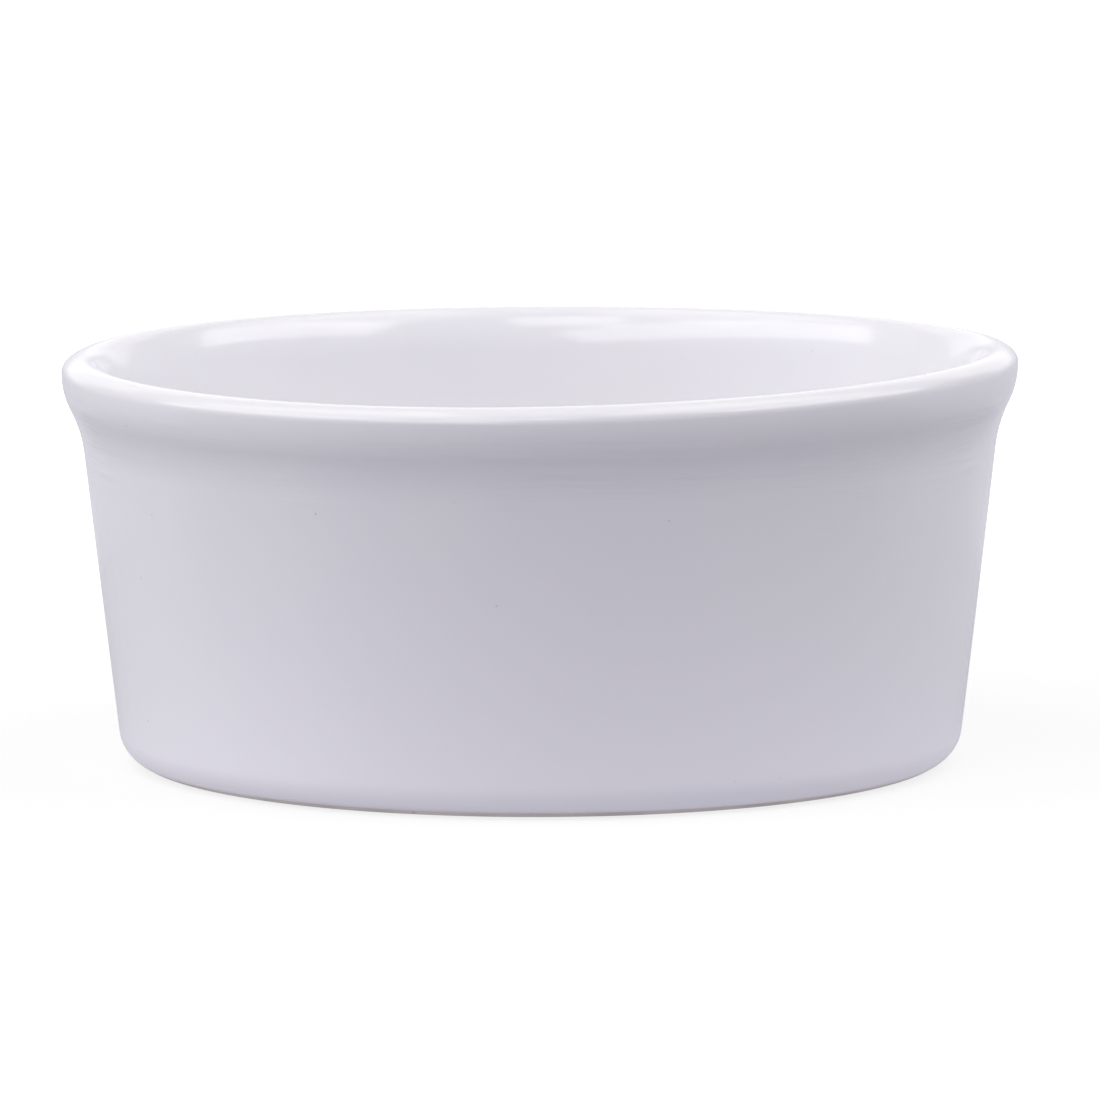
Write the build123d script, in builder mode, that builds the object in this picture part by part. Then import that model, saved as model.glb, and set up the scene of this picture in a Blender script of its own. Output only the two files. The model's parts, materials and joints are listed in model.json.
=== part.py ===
"""Ramekin: a round baking dish with a plain drafted wall and a flared, rolled rim.

The dish is one clay body under a white glaze. Its half section is drawn once, radius
across and height up, as a chain of lines and tangent arcs, and every surface of it can
be moved into the ware by a depth. Depth zero is the fired surface, and a glaze
thickness further in is the clay.

Millimetres, +Z up. The origin is the centre of the foot ring, on the table.
"""

import os
from math import acos, cos, degrees, radians, sin, tan

from build123d import *

# Overall size, over the glaze
rim_diameter = 120.0
overall_height = 51.5

# Wall: a cone that leans out as it rises, and the rounded corner at its foot
wall_draft = 6.8
wall_thickness = 3.9
base_corner_radius = 4.7

# Outside of the rim: a hollow neck runs straight into a full flank
lip_overhang = 1.6
neck_radius = 16.5
flank_radius = 9.6

# Rolled lip: a tight shoulder above the widest line, then a broad crest
shoulder_radius = 1.55
shoulder_turn = 51.6
crest_radius = 3.4

# Inside of the rim: a slow roll between the inner wall and the rounded edge of the lip
roll_radius = 12.0
roll_turn = 23.5

# Floor of the dish, and the sweep that joins it to the inner wall
floor_height = 5.0
floor_sweep_radius = 8.0

# Foot ring, and inside it the shallow recess with a sloping side
foot_ring_width = 5.0
foot_edge_radius = 0.7
recess_depth = 1.3
recess_slope = 45.0

# Glaze, wiped off the foot up to a level line
glaze_thickness = 0.3
wipe_line_height = 0.8


def polar(centre, radius, angle):
    """The point at a radius and an angle in degrees from a centre."""
    across, up = centre
    return (across + radius * cos(radians(angle)), up + radius * sin(radians(angle)))


# Lip, set down from the overall height by its own rise over the widest line
lip_rise = crest_radius - (crest_radius - shoulder_radius) * sin(radians(shoulder_turn))
rim_radius = rim_diameter / 2
widest_height = overall_height - lip_rise
shoulder_centre = (rim_radius - shoulder_radius, widest_height)
crest_centre = polar(shoulder_centre, shoulder_radius - crest_radius, shoulder_turn)

# Wall line: its radius at the table follows from the rim, the overhang and the draft
lean = radians(wall_draft)
base_radius = rim_radius - lip_overhang - widest_height * tan(lean)
base_corner_setback = base_corner_radius * (1 - sin(lean)) / cos(lean)
base_corner_centre = (base_radius - base_corner_setback, base_corner_radius)

# Flank and neck touch where the rim flares most
flank_centre = (rim_radius - flank_radius, widest_height)
flare_span = neck_radius + flank_radius
neck_turn = degrees(acos((neck_radius + (flank_radius - lip_overhang) * cos(lean)) / flare_span))
rim_flare = wall_draft + neck_turn
neck_centre = polar(flank_centre, flare_span, -rim_flare)

# Inside edge of the lip, as round as the wall leaves room for between the crest and the roll
crest_inset = (base_radius - crest_centre[0]) * cos(lean) + overall_height * sin(lean)
roll_inset = roll_radius * (1 - cos(radians(roll_turn)))
edge_radius = (wall_thickness - crest_inset - roll_inset) / (cos(radians(roll_turn)) - sin(lean))
edge_centre = (crest_centre[0], overall_height - edge_radius)
roll_centre = polar(edge_centre, roll_radius - edge_radius, -(wall_draft + roll_turn))

# Sweep between the inner wall and the floor
sweep_height = floor_height + floor_sweep_radius
sweep_inset = (wall_thickness + floor_sweep_radius - sweep_height * sin(lean)) / cos(lean)
sweep_centre = (base_radius - sweep_inset, sweep_height)

# Foot ring and recess, each edge of the sloping side rounded alike
foot_inner_radius = base_corner_centre[0] - foot_ring_width
recess_radius = foot_inner_radius - recess_depth / tan(radians(recess_slope))
foot_edge_setback = foot_edge_radius * tan(radians(recess_slope / 2))
foot_edge_centre = (foot_inner_radius + foot_edge_setback, foot_edge_radius)
recess_edge_centre = (recess_radius - foot_edge_setback, recess_depth - foot_edge_radius)


def half_section(depth):
    """The half section of the dish, with every surface moved into the ware by depth."""
    edge_start = 180 - wall_draft - roll_turn
    with BuildSketch() as section:
        with BuildLine():
            base_corner = CenterArc(base_corner_centre, base_corner_radius - depth, -90, 90 - wall_draft)
            neck = CenterArc(neck_centre, neck_radius + depth, 180 - wall_draft, -neck_turn)
            CenterArc(flank_centre, flank_radius - depth, -rim_flare, rim_flare)
            CenterArc(shoulder_centre, shoulder_radius - depth, 0, shoulder_turn)
            CenterArc(crest_centre, crest_radius - depth, shoulder_turn, 90 - shoulder_turn)
            CenterArc(edge_centre, edge_radius - depth, 90, edge_start - 90)
            roll = CenterArc(roll_centre, roll_radius - depth, edge_start, roll_turn)
            sweep = CenterArc(sweep_centre, floor_sweep_radius + depth, -wall_draft, wall_draft - 90)
            recess_edge = CenterArc(recess_edge_centre, foot_edge_radius + depth, 90, -recess_slope)
            foot_edge = CenterArc(foot_edge_centre, foot_edge_radius - depth, -90 - recess_slope, recess_slope)
            Line(base_corner @ 1, neck @ 0)
            Line(roll @ 1, sweep @ 0)
            Polyline(sweep @ 1, (0, floor_height - depth), (0, recess_depth + depth), recess_edge @ 0)
            Line(recess_edge @ 1, foot_edge @ 0)
            Line(foot_edge @ 1, base_corner @ 0)
        make_face()
    return section.sketch


# The fired surface, and the clay a glaze thickness inside it but bare up to the wipe line
with BuildSketch() as fired_section:
    add(half_section(0))

with BuildSketch() as bare_foot_section:
    add(fired_section.sketch)
    Rectangle(rim_diameter, 2 * wipe_line_height, mode=Mode.INTERSECT)

with BuildSketch() as clay_section:
    add(half_section(glaze_thickness))
    add(bare_foot_section.sketch)

# What lies between the two: the coat of the recess next to the axis, and the coat of the dish
with BuildSketch() as glaze_sections:
    add(fired_section.sketch)
    add(clay_section.sketch, mode=Mode.SUBTRACT)
recess_glaze_section, glaze_coat_section = glaze_sections.faces().sort_by(Axis.X)

# Clay body, bare on its foot ring
with BuildPart() as clay_body:
    with BuildSketch(Plane.XZ):
        add(clay_section.sketch)
    revolve(axis=Axis.Z)
clay_body.part.label = "clay_body"

# One coat of glaze over the outer wall, the lip, the inner wall and the floor
with BuildPart() as glaze_coat:
    with BuildSketch(Plane.XZ):
        add(glaze_coat_section)
    revolve(axis=Axis.Z)
glaze_coat.part.label = "glaze_coat"

# The second coat, in the recess, parted from the first by the wiped foot ring
with BuildPart() as recess_glaze:
    with BuildSketch(Plane.XZ):
        add(recess_glaze_section)
    revolve(axis=Axis.Z)
recess_glaze.part.label = "recess_glaze"

os.makedirs("parts", exist_ok=True)
export_step(clay_body.part, "parts/clay_body.step")
export_step(glaze_coat.part, "parts/glaze_coat.step")
export_step(recess_glaze.part, "parts/recess_glaze.step")
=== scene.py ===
"""Dresses the ramekin: clay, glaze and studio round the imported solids, which stay where they are.

Every length is in metres, in the frame of the solids: the dish stands on z = 0 and its axis
is the Z axis. The turned pieces share one outline, worked out from the dish's sizes.
"""

import json
from collections import namedtuple
from math import acos, atan2, ceil, cos, hypot, pi, radians, sin, tan

import bmesh
import bpy
from bpy.props import FloatProperty, FloatVectorProperty, IntProperty, PointerProperty
from bpy.types import NodeSocket, Operator, Panel, PropertyGroup
from mathutils import Matrix, Vector


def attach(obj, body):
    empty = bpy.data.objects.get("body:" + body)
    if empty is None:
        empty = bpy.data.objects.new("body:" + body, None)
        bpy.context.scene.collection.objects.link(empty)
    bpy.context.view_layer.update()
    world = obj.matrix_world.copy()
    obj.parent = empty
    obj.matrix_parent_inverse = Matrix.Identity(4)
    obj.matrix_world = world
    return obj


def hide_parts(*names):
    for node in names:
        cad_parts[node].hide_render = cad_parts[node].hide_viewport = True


bl_info = {
    "name": "Glazed ramekin",
    "version": (1, 0, 0),
    "blender": (4, 5, 0),
    "location": "3D View > Sidebar > Ramekin",
    "description": "Turns a flared-rim ramekin and glazes it",
    "category": "Add Mesh",
}

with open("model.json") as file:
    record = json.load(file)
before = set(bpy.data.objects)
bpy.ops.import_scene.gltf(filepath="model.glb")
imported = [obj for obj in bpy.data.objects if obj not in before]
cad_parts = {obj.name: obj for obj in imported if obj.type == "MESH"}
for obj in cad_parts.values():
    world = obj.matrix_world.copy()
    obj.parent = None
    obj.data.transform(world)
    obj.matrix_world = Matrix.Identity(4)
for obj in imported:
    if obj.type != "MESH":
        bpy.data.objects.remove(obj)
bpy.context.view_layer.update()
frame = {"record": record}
solid_size = frame["record"]["size"]["bbox_m"]
mm = 0.001
# Points of the outline that are nearer to each other than this are one
touching = 1e-7


class DishSizes(PropertyGroup):
    """Sizes of the dish, over the glaze."""

    rim_diameter: FloatProperty(
        name="Rim diameter", description="Across the widest line of the rim",
        default=solid_size[0], unit="LENGTH")
    height: FloatProperty(
        name="Height", description="From the table to the crest of the lip",
        default=solid_size[2], unit="LENGTH")
    wall_draft: FloatProperty(
        name="Wall draft", description="Lean of the wall from upright",
        default=radians(6.8), subtype="ANGLE")
    wall_thickness: FloatProperty(
        name="Wall thickness", description="Through clay and glaze",
        default=3.9 * mm, unit="LENGTH")
    base_corner: FloatProperty(
        name="Base corner", description="Radius between wall and table",
        default=4.7 * mm, unit="LENGTH")
    lip_overhang: FloatProperty(
        name="Lip overhang", description="Widest line out from the wall",
        default=1.6 * mm, unit="LENGTH")
    neck: FloatProperty(
        name="Neck", description="Radius of the hollow under the rim",
        default=16.5 * mm, unit="LENGTH")
    flank: FloatProperty(
        name="Flank", description="Radius of the swell under the lip",
        default=9.6 * mm, unit="LENGTH")
    shoulder: FloatProperty(
        name="Shoulder", description="Radius of the lip's outer edge",
        default=1.55 * mm, unit="LENGTH")
    shoulder_turn: FloatProperty(
        name="Shoulder turn", description="Arc of the shoulder",
        default=radians(51.6), subtype="ANGLE")
    crest: FloatProperty(
        name="Crest", description="Radius across the top of the lip",
        default=3.4 * mm, unit="LENGTH")
    roll: FloatProperty(
        name="Roll", description="Radius between inner wall and lip",
        default=12 * mm, unit="LENGTH")
    roll_turn: FloatProperty(
        name="Roll turn", description="Arc of the roll",
        default=radians(23.5), subtype="ANGLE")
    floor_height: FloatProperty(
        name="Floor height", description="Inside floor above the table",
        default=5 * mm, unit="LENGTH")
    floor_sweep: FloatProperty(
        name="Floor sweep", description="Radius between floor and wall",
        default=8 * mm, unit="LENGTH")
    foot_width: FloatProperty(
        name="Foot width", description="Width of the standing ring",
        default=5 * mm, unit="LENGTH")
    foot_edge: FloatProperty(
        name="Foot edge", description="Radius of the recess's edges",
        default=0.7 * mm, unit="LENGTH")
    recess_depth: FloatProperty(
        name="Recess depth", description="Recess above the table",
        default=1.3 * mm, unit="LENGTH")
    recess_slope: FloatProperty(
        name="Recess slope", description="Slope of the recess's side",
        default=radians(45), subtype="ANGLE")
    glaze: FloatProperty(
        name="Glaze", description="Thickness of the glaze",
        default=0.3 * mm, unit="LENGTH")
    wipe_line: FloatProperty(
        name="Wipe line", description="Lowest glaze above the table",
        default=0.8 * mm, unit="LENGTH")


class FiringWarp(PropertyGroup):
    """How far the rim moved in the kiln, and how finely the dish is turned."""

    lift_right: FloatProperty(
        name="Lift at the right", description="Rim up at the right, down at the left",
        default=0.6 * mm, unit="LENGTH")
    lift_back: FloatProperty(
        name="Lift at the back", description="Rim up at the back, down in front",
        default=-0.345 * mm, unit="LENGTH")
    saddle_sides: FloatProperty(
        name="Saddle at the sides", description="Both sides up, front and back down",
        default=0.32 * mm, unit="LENGTH")
    saddle_diagonal: FloatProperty(
        name="Saddle on the diagonal", description="Back right and front left up",
        default=-0.23 * mm, unit="LENGTH")
    steps_around: IntProperty(
        name="Steps around", description="Faces in one turn",
        default=240, min=24)
    arc_step: FloatProperty(
        name="Arc step", description="Turn between points of an arc",
        default=radians(5), subtype="ANGLE")
    line_step: FloatProperty(
        name="Line step", description="Distance between points of a line",
        default=3.5 * mm, unit="LENGTH")


class DishFinish(PropertyGroup):
    """Colours and textures of clay and glaze."""

    glaze_color: FloatVectorProperty(
        name="Glaze", description="Colour of the glaze",
        default=(0.83, 0.82, 0.84), size=3, subtype="COLOR")
    pool_color: FloatVectorProperty(
        name="Pooled glaze", description="Where the glaze lies thick",
        default=(0.78, 0.775, 0.83), size=3, subtype="COLOR")
    # Painted shade: a darker, warmer band along the foot just above the wipe line
    foot_shade_color: FloatVectorProperty(
        name="Foot shade", description="Painted shade along the foot",
        default=(0.62, 0.56, 0.48), size=3, subtype="COLOR")
    pit_color: FloatVectorProperty(
        name="Pinholes", description="Inside a pinhole",
        default=(0.60, 0.58, 0.59), size=3, subtype="COLOR")
    clay_color: FloatVectorProperty(
        name="Clay", description="Bare clay",
        default=(0.70, 0.66, 0.60), size=3, subtype="COLOR")
    grog_color: FloatVectorProperty(
        name="Grog", description="Darker grains in the clay",
        default=(0.30, 0.25, 0.20), size=3, subtype="COLOR")
    scuff_color: FloatVectorProperty(
        name="Scuffs", description="Grey marks where the foot rubs",
        default=(0.34, 0.33, 0.33), size=3, subtype="COLOR")
    glaze_roughness: FloatProperty(
        name="Glaze roughness", description="Roughness of clean glaze",
        default=0.12, min=0, max=1)
    clay_roughness: FloatProperty(
        name="Clay roughness", description="Roughness of bare clay",
        default=0.82, min=0, max=1)


class Studio(PropertyGroup):
    """Camera, lamps and floor."""

    distance: FloatProperty(
        name="Camera distance", description="Lens to the dish's middle",
        default=1.657, unit="LENGTH")
    elevation: FloatProperty(
        name="Camera elevation", description="Camera above the dish",
        default=radians(7.488), subtype="ANGLE")
    roll: FloatProperty(
        name="Camera roll", description="Tilt of the picture",
        default=radians(-0.124), subtype="ANGLE")
    pixels_per_mm: FloatProperty(
        name="Scale", description="Pixels of the picture to a millimetre of the dish",
        default=7.959)
    middle_x: FloatProperty(
        name="Middle across", description="Pixel column of the dish's middle",
        default=540.23)
    middle_y: FloatProperty(
        name="Middle down", description="Pixel row of the dish's middle",
        default=556.15)
    picture: FloatProperty(
        name="Picture size", description="Width and height of the picture in pixels",
        default=1100)
    lamp_level: FloatProperty(
        name="Lamp level", description="Brightness of all lamps together",
        default=0.95)
    room_color: FloatVectorProperty(
        name="Room", description="Colour of the light from the room",
        default=(0.94, 0.92, 1.0), size=3, subtype="COLOR")
    room_strength: FloatProperty(
        name="Room light", description="Strength of the light from the room",
        default=0.27)
    room_sheen: FloatProperty(
        name="Room sheen", description="Added brightness of the room as the glaze mirrors it",
        default=0.25)
    backdrop_sheen: FloatProperty(
        name="Backdrop sheen", description="The same, low behind the dish",
        default=0.32)
    floor_color: FloatVectorProperty(
        name="Floor", description="Colour of the floor near the dish",
        default=(0.24, 0.24, 0.24), size=3, subtype="COLOR")
    far_floor_color: FloatVectorProperty(
        name="Far floor", description="Colour of the floor away from it",
        default=(0.20, 0.20, 0.20), size=3, subtype="COLOR")
    glow_color: FloatVectorProperty(
        name="Glow colour", description="Light that comes through the floor",
        default=(0.89, 0.865, 1.0), size=3, subtype="COLOR")
    floor_glow: FloatProperty(
        name="Floor glow", description="Strength of the light through the floor at the dish",
        default=0.47)
    floor_sheen: FloatProperty(
        name="Floor sheen", description="How bright the glaze mirrors the floor behind the dish",
        default=0.55)
    floor_lift: FloatProperty(
        name="Floor lift", description="Brightness added where the camera sees the floor",
        default=0.76)


def polar(centre, radius, angle):
    """The point at a radius and an angle from a centre."""
    return (centre[0] + radius * cos(angle), centre[1] + radius * sin(angle))


def arc_samples(centre, radius, start, turn, step, hollow=False):
    """Points and outward normal angles along an arc; the ware is outside a hollow arc."""
    count = max(2, ceil(abs(turn) / step))
    angles = [start + turn * i / count for i in range(count + 1)]
    return [(polar(centre, radius, a), a + pi if hollow else a) for a in angles]


def line_samples(start, end, step):
    """Points strictly between two ends, with the normal on the right of the way along."""
    run, rise = end[0] - start[0], end[1] - start[1]
    count = max(1, ceil(hypot(run, rise) / step))
    facing = atan2(rise, run) - pi / 2
    return [((start[0] + run * i / count, start[1] + rise * i / count), facing) for i in range(1, count)]


def joined(stretches, step):
    """One outline out of several stretches, with a straight line between any two that part."""
    outline = list(stretches[0])
    for stretch in stretches[1:]:
        last, first = outline[-1][0], stretch[0][0]
        if hypot(first[0] - last[0], first[1] - last[1]) > touching:
            outline += line_samples(last, first, step)
        outline += stretch
    return outline


def foot_stretches(size, warp, base_radius):
    """From the middle of the recess over the foot ring and round the corner to the wall."""
    lean, upright = size.wall_draft, pi / 2
    coarse = 2 * warp.arc_step
    corner_centre = (base_radius - size.base_corner * (1 - sin(lean)) / cos(lean), size.base_corner)
    foot_inner = corner_centre[0] - size.foot_width
    recess_radius = foot_inner - size.recess_depth / tan(size.recess_slope)
    setback = size.foot_edge * tan(size.recess_slope / 2)
    foot_centre = (foot_inner + setback, size.foot_edge)
    recess_centre = (recess_radius - setback, size.recess_depth - size.foot_edge)
    return (
        [((0, size.recess_depth), -upright)],
        arc_samples(recess_centre, size.foot_edge, upright, -size.recess_slope, coarse, hollow=True),
        arc_samples(foot_centre, size.foot_edge, -upright - size.recess_slope, size.recess_slope, coarse),
        arc_samples(corner_centre, size.base_corner, -upright, upright - lean, warp.arc_step),
    )


def rim_stretches(size, warp, base_radius, widest_height):
    """From the wall up the hollow neck, over the lip and down the roll to the inner wall."""
    lean, upright = size.wall_draft, pi / 2
    even, fine = warp.arc_step, warp.arc_step / 2
    rim_radius = size.rim_diameter / 2
    shoulder_centre = (rim_radius - size.shoulder, widest_height)
    crest_centre = polar(shoulder_centre, size.shoulder - size.crest, size.shoulder_turn)

    # The neck and the flank touch where the rim flares most
    flank_centre = (rim_radius - size.flank, widest_height)
    flare_span = size.neck + size.flank
    neck_turn = acos((size.neck + (size.flank - size.lip_overhang) * cos(lean)) / flare_span)
    flare = lean + neck_turn
    neck_centre = polar(flank_centre, flare_span, -flare)

    # The lip's inside edge is as round as the wall leaves room for
    crest_inset = (base_radius - crest_centre[0]) * cos(lean) + size.height * sin(lean)
    roll_inset = size.roll * (1 - cos(size.roll_turn))
    edge = (size.wall_thickness - crest_inset - roll_inset) / (cos(size.roll_turn) - sin(lean))
    edge_centre = (crest_centre[0], size.height - edge)
    edge_end = pi - lean - size.roll_turn
    roll_centre = polar(edge_centre, size.roll - edge, -(lean + size.roll_turn))
    return (
        arc_samples(neck_centre, size.neck, pi - lean, -neck_turn, fine, hollow=True),
        arc_samples(flank_centre, size.flank, -flare, flare, fine)[1:],
        arc_samples(shoulder_centre, size.shoulder, 0, size.shoulder_turn, even)[1:],
        arc_samples(crest_centre, size.crest, size.shoulder_turn, upright - size.shoulder_turn, even)[1:],
        arc_samples(edge_centre, edge, upright, edge_end - upright, even)[1:],
        arc_samples(roll_centre, size.roll, edge_end, size.roll_turn, fine)[1:],
    )


def floor_stretches(size, warp, base_radius):
    """From the inner wall down the sweep and over the floor to its middle."""
    lean, upright = size.wall_draft, pi / 2
    sweep_height = size.floor_height + size.floor_sweep
    sweep_inset = (size.wall_thickness + size.floor_sweep - sweep_height * sin(lean)) / cos(lean)
    sweep_centre = (base_radius - sweep_inset, sweep_height)
    return (
        arc_samples(sweep_centre, size.floor_sweep, -lean, lean - upright, warp.arc_step, hollow=True),
        [((0, size.floor_height), upright)],
    )


def fired_outline(size, warp):
    """The fired surface from the middle of the recess round the lip to the middle of the floor."""
    lip_rise = size.crest - (size.crest - size.shoulder) * sin(size.shoulder_turn)
    widest_height = size.height - lip_rise
    base_radius = size.rim_diameter / 2 - size.lip_overhang - widest_height * tan(size.wall_draft)
    stretches = (
        *foot_stretches(size, warp, base_radius),
        *rim_stretches(size, warp, base_radius, widest_height),
        *floor_stretches(size, warp, base_radius),
    )
    return joined(stretches, warp.line_step)


def sunk(sample, depth):
    """A point of the outline moved into the ware by a depth."""
    point, facing = sample
    return (max(0, point[0] - depth * cos(facing)), point[1] - depth * sin(facing))


def bare_depth(size, height):
    """Depth of the clay under the fired surface, which fades out below the wipe line."""
    share = min(1, max(0, 2 * height / size.wipe_line - 1))
    return size.glaze * share * share * (3 - 2 * share)


def clay_section(size, warp):
    """The clay's outline, from axis to axis."""
    return [sunk(sample, bare_depth(size, sample[0][1])) for sample in fired_outline(size, warp)]


def bead(size, sample, side):
    """Rounded end of a coat of glaze at a sample of the outline, from the clay to the surface."""
    half = size.glaze / 2
    middle = sunk(sample, half)
    inward = sample[1] + pi
    steps = 6
    return [polar(middle, half, inward + side * pi * i / steps) for i in range(1, steps)]


def coat_section(size, warp):
    """Glaze over the outer wall, the lip and the inside, along its back and then along its face."""
    outline = fired_outline(size, warp)
    foot = max(i for i, (point, _) in enumerate(outline) if point[1] < touching)
    coat = [sample for sample in outline[foot:] if sample[0][1] >= size.wipe_line]
    inner = [sunk(sample, size.glaze) for sample in reversed(coat)]
    return inner + bead(size, coat[0], 1) + [point for point, _ in coat]


def recess_section(size, warp):
    """Glaze over the recess, along its back and then along its face."""
    outline = fired_outline(size, warp)
    end = next(i for i, (point, _) in enumerate(outline) if point[1] < size.wipe_line)
    coat = outline[:end]
    inner = [sunk(sample, size.glaze) for sample in coat]
    return inner + bead(size, coat[-1], -1) + [point for point, _ in reversed(coat)]


def fill(node, inputs):
    """Sets a node's inputs from values, or links them from sockets."""
    for key, value in inputs.items():
        if isinstance(value, NodeSocket):
            node.id_data.links.new(value, node.inputs[key])
        else:
            node.inputs[key].default_value = value
    return node


def add(tree, kind, inputs=None, **settings):
    """Adds a node with its settings and inputs."""
    node = tree.nodes.new(kind)
    for name, value in settings.items():
        setattr(node, name, value)
    return fill(node, inputs or {})


def calc(tree, operation, *values):
    """A math node's result."""
    node = add(tree, "ShaderNodeMath", operation=operation)
    return fill(node, dict(enumerate(values))).outputs[0]


def ramp(tree, value, low, high, smooth=True):
    """A value's way from low to high, as 0 to 1."""
    kind = "SMOOTHSTEP" if smooth else "LINEAR"
    limits = {"Value": value, "From Min": low, "From Max": high}
    return add(tree, "ShaderNodeMapRange", limits, interpolation_type=kind).outputs[0]


def noise(tree, place, scale, **inputs):
    """A noise's value, at a scale in features to a metre."""
    return add(tree, "ShaderNodeTexNoise", {"Vector": place, "Scale": scale, **inputs}).outputs[0]


def total(tree, *values):
    """The sum of several values."""
    result = values[0]
    for value in values[1:]:
        result = calc(tree, "ADD", result, value)
    return result


def product(tree, *values):
    """The product of several values."""
    result = values[0]
    for value in values[1:]:
        result = calc(tree, "MULTIPLY", result, value)
    return result


def rest(tree, value):
    """What a share leaves of one."""
    return calc(tree, "SUBTRACT", 1.0, value)


def split(tree, vector):
    """A vector's X, Y and Z."""
    return add(tree, "ShaderNodeSeparateXYZ", {0: vector}).outputs


def blend_color(tree, share, first, second):
    """A mix of two colours, by the mix node's sockets for a colour."""
    factor, color_a, color_b, mixed = 0, 6, 7, 2
    node = add(tree, "ShaderNodeMix", data_type="RGBA")
    inputs = {factor: share}
    for socket, color in ((color_a, first), (color_b, second)):
        inputs[socket] = color if isinstance(color, NodeSocket) else (*color, 1)
    return fill(node, inputs).outputs[mixed]


def new_group(name, kind, inputs, outputs):
    """A node group with its named sockets, and its two end nodes."""
    tree = bpy.data.node_groups.new(name, kind)
    for socket_name, socket_type, value in inputs:
        socket = tree.interface.new_socket(name=socket_name, in_out="INPUT", socket_type=socket_type)
        if value is not None:
            socket.default_value = value
    for socket_name, socket_type in outputs:
        tree.interface.new_socket(name=socket_name, in_out="OUTPUT", socket_type=socket_type)
    return tree, tree.nodes.new("NodeGroupInput"), tree.nodes.new("NodeGroupOutput")


def sweep_grid(tree, given):
    """A grid with a column for each point of the section and a row for each step around.

    Its side is 1 and its middle is the origin. Returned with it are the radius, the height and
    the angle that belong to each of its points.
    """
    section = add(tree, "GeometryNodeObjectInfo", {"Object": given["Section"]}).outputs["Geometry"]
    size = add(tree, "GeometryNodeAttributeDomainSize", {"Geometry": section}, component="MESH")
    points = size.outputs["Point Count"]
    around = calc(tree, "ADD", given["Steps around"], 1.0)
    sides = {"Vertices X": points, "Vertices Y": around, "Size X": 1.0, "Size Y": 1.0}
    grid = add(tree, "GeometryNodeMeshGrid", sides).outputs["Mesh"]
    place = split(tree, add(tree, "GeometryNodeInputPosition").outputs[0])
    half = 0.5
    column = product(tree, calc(tree, "ADD", place[0], half), calc(tree, "SUBTRACT", points, 1.0))
    angle = product(tree, calc(tree, "ADD", place[1], half), 2 * pi)

    picked = add(tree, "GeometryNodeSampleIndex", data_type="FLOAT_VECTOR", domain="POINT")
    own_place = add(tree, "GeometryNodeInputPosition").outputs[0]
    fill(picked, {"Geometry": section, "Value": own_place, "Index": calc(tree, "ROUND", column)})
    reach = split(tree, picked.outputs["Value"])
    return grid, reach[0], reach[2], angle


def kiln_lift(tree, given, radius, height, angle):
    """How far the kiln lifted a point, which is less the lower and the nearer to the axis it is."""
    double = product(tree, angle, 2.0)
    lift = total(
        tree,
        product(tree, given["Lift right"], calc(tree, "COSINE", angle)),
        product(tree, given["Lift back"], calc(tree, "SINE", angle)),
        product(tree, given["Saddle sides"], calc(tree, "COSINE", double)),
        product(tree, given["Saddle diagonal"], calc(tree, "SINE", double)))
    up_share = calc(tree, "DIVIDE", height, given["Height"])
    out_share = calc(tree, "DIVIDE", radius, given["Rim radius"])
    share = product(tree, up_share, out_share)
    return product(tree, share, share, lift)


def turning_tree():
    """Turns a section round the Z axis, lifts its rim as the kiln did, and closes seam and poles."""
    name = "Turned dish"
    if name in bpy.data.node_groups:
        return bpy.data.node_groups[name]
    tree, given, result = new_group(
        name, "GeometryNodeTree",
        (("Section", "NodeSocketObject", None), ("Steps around", "NodeSocketInt", 240),
         ("Height", "NodeSocketFloat", 0.05), ("Rim radius", "NodeSocketFloat", 0.06),
         ("Lift right", "NodeSocketFloat", 0.0), ("Lift back", "NodeSocketFloat", 0.0),
         ("Saddle sides", "NodeSocketFloat", 0.0), ("Saddle diagonal", "NodeSocketFloat", 0.0),
         ("Weld distance", "NodeSocketFloat", 1e-6), ("Material", "NodeSocketMaterial", None)),
        (("Geometry", "NodeSocketGeometry"),))
    given = given.outputs
    grid, radius, height, angle = sweep_grid(tree, given)
    turned = add(tree, "ShaderNodeCombineXYZ", {
        0: product(tree, radius, calc(tree, "COSINE", angle)),
        1: product(tree, radius, calc(tree, "SINE", angle)),
        2: total(tree, height, kiln_lift(tree, given, radius, height, angle))}).outputs[0]
    placed = add(tree, "GeometryNodeSetPosition", {"Geometry": grid, "Position": turned})
    near = {"Geometry": placed.outputs[0], "Distance": given["Weld distance"]}
    welded = add(tree, "GeometryNodeMergeByDistance", near)
    smooth = add(tree, "GeometryNodeSetShadeSmooth", {"Geometry": welded.outputs[0]})
    real = add(tree, "GeometryNodeRealizeInstances", {"Geometry": smooth.outputs[0]})
    paint = {"Geometry": real.outputs[0], "Material": given["Material"]}
    painted = add(tree, "GeometryNodeSetMaterial", paint)
    tree.links.new(painted.outputs[0], result.inputs[0])
    return tree


def set_input(modifier, name, value):
    """Sets a modifier's input by its socket's identifier."""
    for item in modifier.node_group.interface.items_tree:
        if item.item_type == "SOCKET" and item.in_out == "INPUT" and item.name == name:
            modifier[item.identifier] = value
            return
    raise RuntimeError(f"the tree has no input named {name}")


def close_outwards(name, mesh):
    """Makes sure that a mesh is closed, and faces it outwards."""
    shape = bmesh.new()
    shape.from_mesh(mesh)
    if any(not edge.is_manifold for edge in shape.edges):
        raise RuntimeError(f"{name} is not closed")
    bmesh.ops.recalc_face_normals(shape, faces=shape.faces)
    shape.to_mesh(mesh)
    shape.free()


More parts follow.
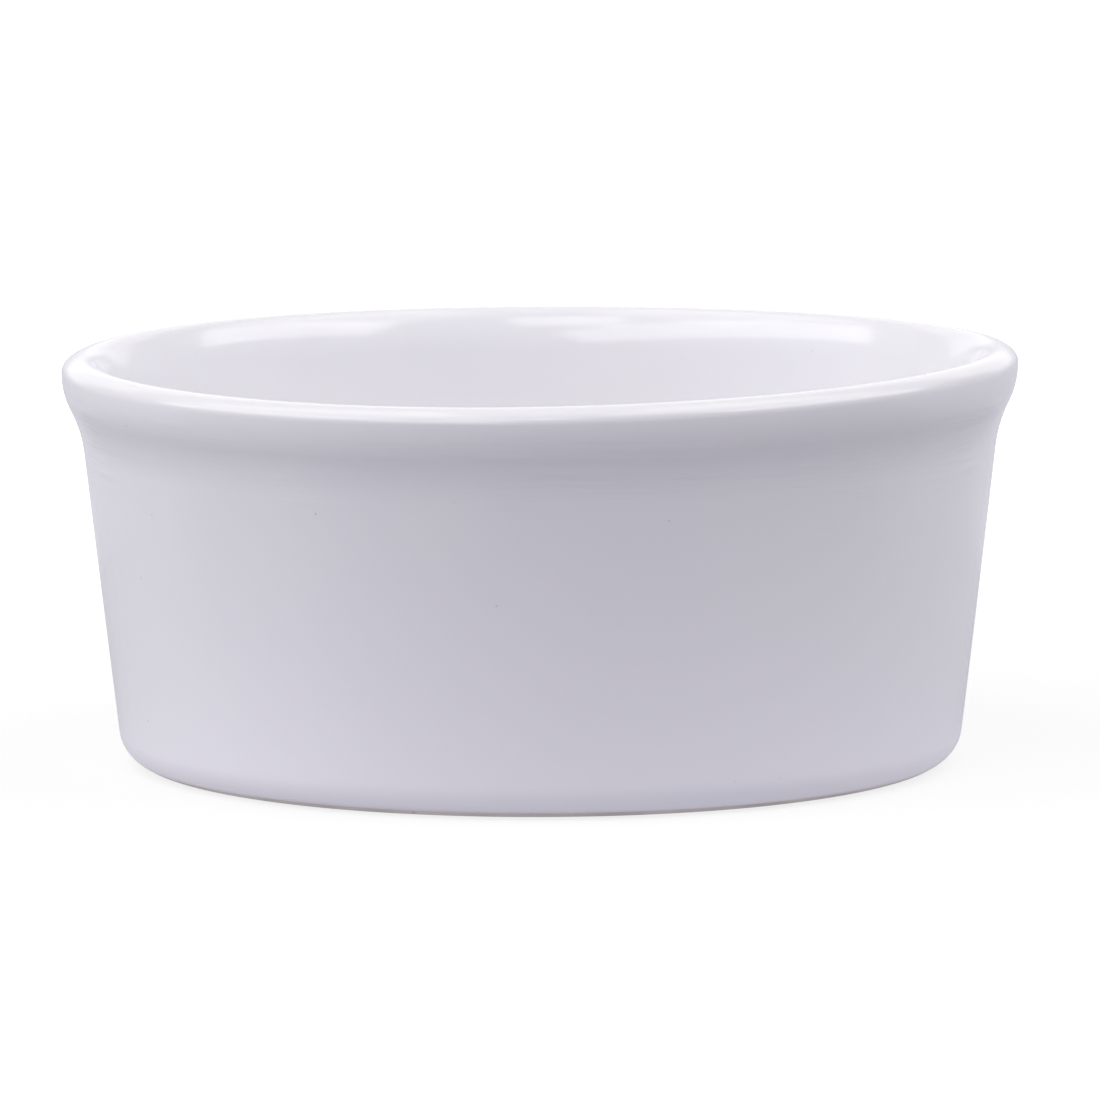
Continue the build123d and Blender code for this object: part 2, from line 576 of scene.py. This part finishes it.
def turned_piece(name, points, material, size, warp):
    """A closed mesh of a section that runs from axis to axis, turned round and made plain."""
    lines = [(i, i + 1) for i in range(len(points) - 1)]
    guide_mesh = bpy.data.meshes.new(name + "_section")
    guide_mesh.from_pydata([(across, 0, up) for across, up in points], lines, [])
    guide = bpy.data.objects.new(name + "_section", guide_mesh)
    wheel = bpy.data.objects.new(name + "_wheel", bpy.data.meshes.new(name + "_blank"))
    for item in (guide, wheel):
        bpy.context.scene.collection.objects.link(item)
    modifier = wheel.modifiers.new("Turning", "NODES")
    modifier.node_group = turning_tree()
    values = {
        "Section": guide, "Steps around": warp.steps_around,
        "Height": size.height, "Rim radius": size.rim_diameter / 2,
        "Lift right": warp.lift_right, "Lift back": warp.lift_back,
        "Saddle sides": warp.saddle_sides, "Saddle diagonal": warp.saddle_diagonal,
        "Material": material}
    for socket_name, value in values.items():
        set_input(modifier, socket_name, value)
    evaluated = wheel.evaluated_get(bpy.context.evaluated_depsgraph_get())
    mesh = bpy.data.meshes.new_from_object(evaluated)
    for item in (wheel, guide):
        bpy.data.objects.remove(item)
    close_outwards(name, mesh)
    mesh.name = name
    mesh.materials.clear()
    mesh.materials.append(material)
    piece = bpy.data.objects.new(name, mesh)
    bpy.context.scene.collection.objects.link(piece)
    return piece


def seat(piece, node):
    """Puts a piece in the place of a solid, on the dish's one body."""
    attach(piece, "root")
    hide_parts(node)


def pinhole_group():
    """Pinholes: small round pits of varied strength, at most one to a cell."""
    name = "Pinholes"
    if name in bpy.data.node_groups:
        return bpy.data.node_groups[name]
    tree, given, result = new_group(
        name, "ShaderNodeTree",
        (("Vector", "NodeSocketVector", None), ("Cells per metre", "NodeSocketFloat", 240.0),
         ("Radius", "NodeSocketFloat", 0.028), ("Share of cells", "NodeSocketFloat", 0.8)),
        (("Pit", "NodeSocketFloat"),))
    given = given.outputs
    size = {"Vector": given["Vector"], "Scale": given["Cells per metre"]}
    cells = add(tree, "ShaderNodeTexVoronoi", size)
    chances = add(tree, "ShaderNodeSeparateColor", {0: cells.outputs["Color"]}).outputs
    chosen = calc(tree, "LESS_THAN", chances[0], given["Share of cells"])
    strength = product(tree, chosen, ramp(tree, chances[1], 0.0, 1.0))
    wide = product(tree, given["Radius"], 2.0)
    inside = rest(tree, ramp(tree, cells.outputs["Distance"], 0.0, wide))
    tree.links.new(product(tree, strength, inside), result.inputs["Pit"])
    return tree


def neck_rings(tree, given):
    """Rings left by turning, in patches round the neck of the outer wall."""
    place = given["Vector"]
    patches = ramp(tree, noise(tree, place, 30.0), 0.42, 0.6)

    # Far more features to a metre up the wall than across it, so that they lie in rings
    per_metre = (60.0, 60.0, 900.0)
    stretched = add(tree, "ShaderNodeMapping", {"Vector": place, "Scale": per_metre}).outputs[0]
    rings = noise(tree, stretched, 1.0, Detail=2.0)

    ring_full, ring_end = 2 * mm, 8 * mm
    off_neck = calc(tree, "SUBTRACT", split(tree, place)[2], given["Ring height"])
    near_neck = rest(tree, ramp(tree, calc(tree, "ABSOLUTE", off_neck), ring_full, ring_end))
    level = {0: place, 1: (1, 1, 0)}
    across = add(tree, "ShaderNodeVectorMath", level, operation="MULTIPLY").outputs[0]
    radius = add(tree, "ShaderNodeVectorMath", {0: across}, operation="LENGTH").outputs["Value"]
    outside = ramp(tree, calc(tree, "SUBTRACT", radius, given["Inside radius"]), 0.0, mm)
    return product(tree, rings, patches, near_neck, outside)


def flow_group():
    """Relief of fired glaze in millimetres: broad flow, fine ripple and rings left by turning."""
    name = "Glaze flow"
    if name in bpy.data.node_groups:
        return bpy.data.node_groups[name]
    tree, given, result = new_group(
        name, "ShaderNodeTree",
        (("Vector", "NodeSocketVector", None), ("Broad relief", "NodeSocketFloat", 0.05),
         ("Fine relief", "NodeSocketFloat", 0.003), ("Ring relief", "NodeSocketFloat", 0.12),
         ("Ring height", "NodeSocketFloat", 0.043), ("Inside radius", "NodeSocketFloat", 0.0545)),
        (("Relief", "NodeSocketFloat"), ("Cloud", "NodeSocketFloat"), ("Rings", "NodeSocketFloat")))
    given = given.outputs
    broad = noise(tree, given["Vector"], 55.0, Detail=2.0)
    fine = noise(tree, given["Vector"], 420.0, Detail=1.0)
    rings = neck_rings(tree, given)
    relief = total(
        tree,
        product(tree, broad, given["Broad relief"]),
        product(tree, fine, given["Fine relief"]),
        product(tree, rings, given["Ring relief"]))
    tree.links.new(relief, result.inputs["Relief"])
    tree.links.new(broad, result.inputs["Cloud"])
    tree.links.new(rings, result.inputs["Rings"])
    return tree


def new_material(name):
    """An empty material, its tree, its shader and its object coordinates."""
    material = bpy.data.materials.new(name)
    material.use_nodes = True
    tree = material.node_tree
    shader = tree.nodes["Principled BSDF"]
    place = add(tree, "ShaderNodeTexCoord").outputs["Object"]
    return material, tree, shader, place


def bump(tree, shader, relief):
    """Feeds a relief in millimetres to a shader's normal."""
    node = add(tree, "ShaderNodeBump", {"Height": relief, "Distance": mm, "Strength": 1.0})
    tree.links.new(node.outputs[0], shader.inputs["Normal"])


def glaze_material(name, size, finish, pits):
    """White gloss glaze: bluer where it pooled, thin and rougher just over the wipe line with painted
    shade there, and pinholed.
    """
    material, tree, shader, place = new_material(name)
    flow = add(tree, "ShaderNodeGroup", {"Vector": place}, node_tree=flow_group()).outputs
    holes = {"Vector": place, "Share of cells": pits}
    pit = add(tree, "ShaderNodeGroup", holes, node_tree=pinhole_group()).outputs["Pit"]

    # The glaze thins out unevenly over its last stretch above the wipe line; painted shade darkens it
    # there
    unevenness, thinning = 0.5 * mm, 0.8 * mm
    ragged = total(tree, split(tree, place)[2], product(tree, flow["Cloud"], unevenness))
    low_edge = rest(tree, ramp(tree, ragged, size.wipe_line, size.wipe_line + thinning))

    pool_share, foot_shade_share = 0.15, 0.5
    pooled = product(tree, ramp(tree, flow["Cloud"], 0.35, 0.7), pool_share)
    color = blend_color(tree, pooled, finish.glaze_color, finish.pool_color)
    # Painted shade along the foot, darker and warmer just above the wipe line
    color = blend_color(tree, product(tree, low_edge, foot_shade_share), color, finish.foot_shade_color)
    color = blend_color(tree, pit, color, finish.pit_color)
    tree.links.new(color, shader.inputs["Base Color"])

    ring_haze, edge_haze, glaze_index, pit_depth = 0.05, 0.25, 1.55, 0.04
    rough = total(
        tree, finish.glaze_roughness,
        product(tree, flow["Rings"], ring_haze), product(tree, low_edge, edge_haze))
    tree.links.new(rough, shader.inputs["Roughness"])
    shader.inputs["IOR"].default_value = glaze_index
    bump(tree, shader, calc(tree, "SUBTRACT", flow["Relief"], product(tree, pit, pit_depth)))
    return material


def clay_material(finish):
    """Bare fired clay: sandy, speckled with grog, and scuffed grey where the foot rubs."""
    material, tree, shader, place = new_material("fired_clay")
    sand = noise(tree, place, 2600.0, Detail=3.0)
    cloud = noise(tree, place, 90.0, Detail=3.0)
    grains = {"Vector": place, "Cells per metre": 700.0, "Radius": 0.16, "Share of cells": 0.16}
    grog = add(tree, "ShaderNodeGroup", grains, node_tree=pinhole_group()).outputs["Pit"]
    scrape = noise(tree, place, 420.0, Detail=5.0, Distortion=0.8)
    rubbed_to, bare_from = 0.02 * mm, 0.25 * mm
    rubbed = rest(tree, ramp(tree, split(tree, place)[2], rubbed_to, bare_from))
    scuff = product(tree, rubbed, ramp(tree, scrape, 0.5, 0.68))

    shade, grog_share, scuff_share = 0.82, 0.8, 0.45
    darker = tuple(shade * channel for channel in finish.clay_color)
    color = blend_color(tree, ramp(tree, cloud, 0.3, 0.7), finish.clay_color, darker)
    color = blend_color(tree, product(tree, grog, grog_share), color, finish.grog_color)
    color = blend_color(tree, product(tree, scuff, scuff_share), color, finish.scuff_color)
    tree.links.new(color, shader.inputs["Base Color"])

    sand_roughness, scuff_polish, sand_relief = 0.15, 0.25, 0.06
    rough = total(tree, finish.clay_roughness, product(tree, sand, sand_roughness))
    rough = calc(tree, "SUBTRACT", rough, product(tree, scuff, scuff_polish))
    tree.links.new(rough, shader.inputs["Roughness"])
    bump(tree, shader, product(tree, sand, sand_relief))
    return material


# Each lamp stands at a bearing to the right of the camera and at a rise, and is turned about its
# own line to the dish, all in degrees. The glaze mirrors some of the lamps only. The light has
# less red than blue, by the share given last, and less green by a little more than that.
Lamp = namedtuple("Lamp", "name bearing rise turned distance width height radiance mirrored blue")
green_factor = 1.15
lamps = (
    Lamp("softbox_left", -59, 37, 0, 1.1, 2.1, 0.4, 2.3, True, 0),
    Lamp("softbox_front", -10, 50, 0, 1.1, 0.5, 0.3, 2.6, True, 0),
    Lamp("softbox_right", 83, 38, -14, 1.1, 1.1, 0.36, 2.4, True, 0),
    Lamp("overhead_left", -90, 62, 0, 1.3, 1.4, 0.9, 1.04, True, -0.06),
    Lamp("overhead_right", 90, 62, 0, 1.3, 1.4, 0.9, 1.08, True, -0.06),
    Lamp("front_fill", 0, 14, 0, 1.3, 0.8, 0.4, 1.4, False, 0.36),
    Lamp("side_left", -95, 12, 0, 1.3, 0.8, 0.5, 2.2, False, 0.08),
    Lamp("side_right", 95, 12, 0, 1.3, 0.8, 0.5, 1.25, False, 0.08),
    Lamp("back_middle", 180, 22, 0, 1.4, 2.0, 0.7, 0.5, True, 0),
    Lamp("back_left", -130, 20, 0, 1.3, 0.9, 0.8, 0.4, False, 0.11),
    Lamp("back_right", 130, 20, 0, 1.3, 0.9, 0.8, 1.0, False, 0.11),
)


def softbox(lamp, aim, level):
    """A rectangular lamp that faces the dish."""
    light = bpy.data.lights.new(lamp.name, "AREA")
    light.shape = "RECTANGLE"
    light.size, light.size_y = lamp.width, lamp.height
    light.energy = level * lamp.radiance * lamp.width * lamp.height * pi
    light.color = (1 - lamp.blue, 1 - green_factor * lamp.blue, 1)
    item = bpy.data.objects.new(lamp.name, light)
    bearing, rise = radians(lamp.bearing), radians(lamp.rise)
    way = Vector((cos(rise) * sin(bearing), -cos(rise) * cos(bearing), sin(rise)))
    item.location = aim + lamp.distance * way
    facing = (aim - item.location).to_track_quat("-Z", "Y").to_matrix()
    item.rotation_euler = (facing @ Matrix.Rotation(radians(lamp.turned), 3, "Z")).to_euler()
    item.visible_glossy = lamp.mirrored
    bpy.context.scene.collection.objects.link(item)


def make_camera(size, studio):
    """A long lens at the photograph's angle, aimed so that the dish lies where it does in the picture."""
    middle = Vector((0, 0, size.height / 2))
    back = Vector((0, -cos(studio.elevation), sin(studio.elevation)))
    nearest, farthest = 0.01, 50
    camera = bpy.data.cameras.new("camera")
    camera.clip_start, camera.clip_end = nearest, farthest
    focal_pixels = studio.pixels_per_mm / mm * studio.distance
    camera.lens = focal_pixels / studio.picture * camera.sensor_width
    item = bpy.data.objects.new("camera", camera)
    turn = (-back).to_track_quat("-Z", "Y").to_matrix() @ Matrix.Rotation(studio.roll, 3, "Z")
    centre = studio.picture / 2
    pixel = mm / studio.pixels_per_mm
    offset = Vector((centre - studio.middle_x, studio.middle_y - centre, 0)) * pixel
    place = middle + back * studio.distance + turn @ offset
    item.matrix_world = Matrix.Translation(place) @ turn.to_4x4()
    bpy.context.scene.collection.objects.link(item)
    bpy.context.scene.camera = item


def floor_material(studio):
    """Floor that the camera sees as white, less the shadow of the dish.

    It glows a little under the dish, the glaze mirrors it as pale behind the dish, and it is
    clear from below.
    """
    material, tree, shader, place = new_material("studio_floor")
    reach = add(tree, "ShaderNodeVectorMath", {0: place}, operation="LENGTH").outputs["Value"]
    grain = noise(tree, place, 900.0, Detail=3.0)
    grain_shift, near, away = 0.01, 0.12, 0.4
    far = ramp(tree, total(tree, reach, product(tree, grain, grain_shift)), near, away)
    color = blend_color(tree, far, studio.floor_color, studio.far_floor_color)
    tree.links.new(color, shader.inputs["Base Color"])
    floor_roughness, grain_roughness = 0.8, 0.2
    rough = total(tree, floor_roughness, product(tree, grain, grain_roughness))
    tree.links.new(rough, shader.inputs["Roughness"])
    shader.inputs["Specular IOR Level"].default_value = 0.0

    path = add(tree, "ShaderNodeLightPath").outputs
    seen = calc(tree, "MAXIMUM", path["Is Camera Ray"], path["Is Transmission Ray"])
    lift = product(tree, seen, total(tree, studio.floor_lift, far))
    glow_full, glow_end = 0.05, 0.165
    fading = rest(tree, ramp(tree, reach, glow_full, glow_end, smooth=False))
    through = product(tree, rest(tree, seen), fading, studio.floor_glow)
    rim_front, dish_back, dish_edge, open_floor = -0.06, 0.03, 0.06, 0.22
    behind = ramp(tree, split(tree, place)[1], rim_front, dish_back)
    clear = product(tree, behind, ramp(tree, reach, dish_edge, open_floor))
    sheen = product(tree, path["Is Glossy Ray"], clear, studio.floor_sheen)
    tint = blend_color(tree, seen, studio.glow_color, (1, 1, 1))
    light = {"Color": tint, "Strength": total(tree, lift, through, sheen)}
    glow = add(tree, "ShaderNodeEmission", light).outputs[0]
    lit = add(tree, "ShaderNodeAddShader", {0: shader.outputs[0], 1: glow}).outputs[0]
    below = add(tree, "ShaderNodeNewGeometry").outputs["Backfacing"]
    glass = add(tree, "ShaderNodeBsdfTransparent").outputs[0]
    sided = add(tree, "ShaderNodeMixShader", {0: below, 1: lit, 2: glass}).outputs[0]
    tree.links.new(sided, tree.nodes["Material Output"].inputs["Surface"])
    return material


def make_floor(studio):
    """A round floor, wide enough to fill the picture and just clear of the foot ring."""
    radius, segments, clearance = 6, 96, 0.02 * mm
    mesh = bpy.data.meshes.new("studio_floor")
    shape = bmesh.new()
    bmesh.ops.create_circle(shape, cap_ends=True, segments=segments, radius=radius)
    shape.to_mesh(mesh)
    shape.free()
    mesh.materials.append(floor_material(studio))
    floor = bpy.data.objects.new("studio_floor", mesh)
    floor.location.z = -clearance
    bpy.context.scene.collection.objects.link(floor)


def make_world(studio):
    """Even light from the room, and white where the camera looks past the floor.

    The glaze mirrors the room brighter than it is, most of all low behind the dish.
    """
    world = bpy.data.worlds.new("room")
    world.use_nodes = True
    tree = world.node_tree
    tree.nodes.clear()
    path = add(tree, "ShaderNodeLightPath").outputs
    way = split(tree, add(tree, "ShaderNodeTexCoord").outputs["Generated"])
    back_from, back_full, low_full, low_end = 0.2, 0.9, 0.08, 0.4
    behind = ramp(tree, way[1], back_from, back_full)
    low = rest(tree, ramp(tree, way[2], low_full, low_end))
    backdrop = product(tree, behind, low, studio.backdrop_sheen)
    sheen = product(tree, path["Is Glossy Ray"], total(tree, backdrop, studio.room_sheen))
    level = total(tree, studio.room_strength, sheen)
    room = add(tree, "ShaderNodeBackground", {"Color": (*studio.room_color, 1), "Strength": level})
    white = add(tree, "ShaderNodeBackground", {"Color": (1, 1, 1, 1), "Strength": 1.0})
    seen = calc(tree, "MAXIMUM", path["Is Camera Ray"], path["Is Transmission Ray"])
    mix = add(tree, "ShaderNodeMixShader", {0: seen, 1: room.outputs[0], 2: white.outputs[0]})
    output = add(tree, "ShaderNodeOutputWorld")
    tree.links.new(mix.outputs[0], output.inputs["Surface"])
    bpy.context.scene.world = world


class RAMEKIN_OT_clay_body(Operator):
    """Turn the clay body, bare at its foot."""

    bl_idname = "ramekin.clay_body"
    bl_label = "Clay Body"
    bl_options = {"REGISTER", "UNDO"}

    def execute(self, context):
        size, warp = context.scene.ramekin_sizes, context.scene.ramekin_warp
        material = clay_material(context.scene.ramekin_finish)
        points = clay_section(size, warp)
        piece = turned_piece("dish_clay", points, material, size, warp)
        seat(piece, "clay_body")
        return {"FINISHED"}


class RAMEKIN_OT_glaze_coat(Operator):
    """Glaze the outer wall, the lip and the inside."""

    bl_idname = "ramekin.glaze_coat"
    bl_label = "Glaze Coat"
    bl_options = {"REGISTER", "UNDO"}

    def execute(self, context):
        size, warp = context.scene.ramekin_sizes, context.scene.ramekin_warp
        material = glaze_material("gloss_glaze", size, context.scene.ramekin_finish, pits=0.8)
        points = coat_section(size, warp)
        piece = turned_piece("dish_glaze", points, material, size, warp)
        seat(piece, "glaze_coat")
        return {"FINISHED"}


class RAMEKIN_OT_recess_glaze(Operator):
    """Glaze the recess under the dish."""

    bl_idname = "ramekin.recess_glaze"
    bl_label = "Recess Glaze"
    bl_options = {"REGISTER", "UNDO"}

    def execute(self, context):
        size, warp = context.scene.ramekin_sizes, context.scene.ramekin_warp
        material = glaze_material("gloss_glaze_recess", size, context.scene.ramekin_finish, pits=1.0)
        points = recess_section(size, warp)
        piece = turned_piece("dish_recess_glaze", points, material, size, warp)
        seat(piece, "recess_glaze")
        return {"FINISHED"}


class RAMEKIN_OT_stage(Operator):
    """Set up the camera, the lamps, the room and the floor."""

    bl_idname = "ramekin.stage"
    bl_label = "Studio"
    bl_options = {"REGISTER", "UNDO"}

    def execute(self, context):
        scene = context.scene
        studio = scene.ramekin_studio
        middle = Vector((0, 0, scene.ramekin_sizes.height / 2))
        scene.view_settings.view_transform = "Standard"
        make_camera(scene.ramekin_sizes, studio)
        make_world(studio)
        make_floor(studio)
        for lamp in lamps:
            softbox(lamp, middle, studio.lamp_level)
        return {"FINISHED"}


class RAMEKIN_PT_sidebar(Panel):
    """Lists the dish's pieces and its settings."""

    bl_idname = "RAMEKIN_PT_sidebar"
    bl_label = "Ramekin"
    bl_space_type = "VIEW_3D"
    bl_region_type = "UI"
    bl_category = "Ramekin"

    def draw(self, context):
        scene = context.scene
        for operator in operators:
            self.layout.operator(operator.bl_idname)
        for title, group in (
                ("Sizes", scene.ramekin_sizes), ("Firing", scene.ramekin_warp),
                ("Finish", scene.ramekin_finish), ("Studio", scene.ramekin_studio)):
            box = self.layout.box()
            box.label(text=title)
            for name in group.__annotations__:
                box.prop(group, name)


groups = {
    "ramekin_sizes": DishSizes,
    "ramekin_warp": FiringWarp,
    "ramekin_finish": DishFinish,
    "ramekin_studio": Studio,
}
operators = (RAMEKIN_OT_stage, RAMEKIN_OT_clay_body, RAMEKIN_OT_glaze_coat, RAMEKIN_OT_recess_glaze)
classes = (*groups.values(), *operators, RAMEKIN_PT_sidebar)


def register():
    for item in classes:
        bpy.utils.register_class(item)
    for name, group in groups.items():
        setattr(bpy.types.Scene, name, PointerProperty(type=group))


def unregister():
    for name in groups:
        delattr(bpy.types.Scene, name)
    for item in reversed(classes):
        bpy.utils.unregister_class(item)


def main():
    register()
    bpy.ops.ramekin.stage()
    bpy.ops.ramekin.clay_body()
    bpy.ops.ramekin.glaze_coat()
    bpy.ops.ramekin.recess_glaze()


if __name__ == "__main__":
    main()
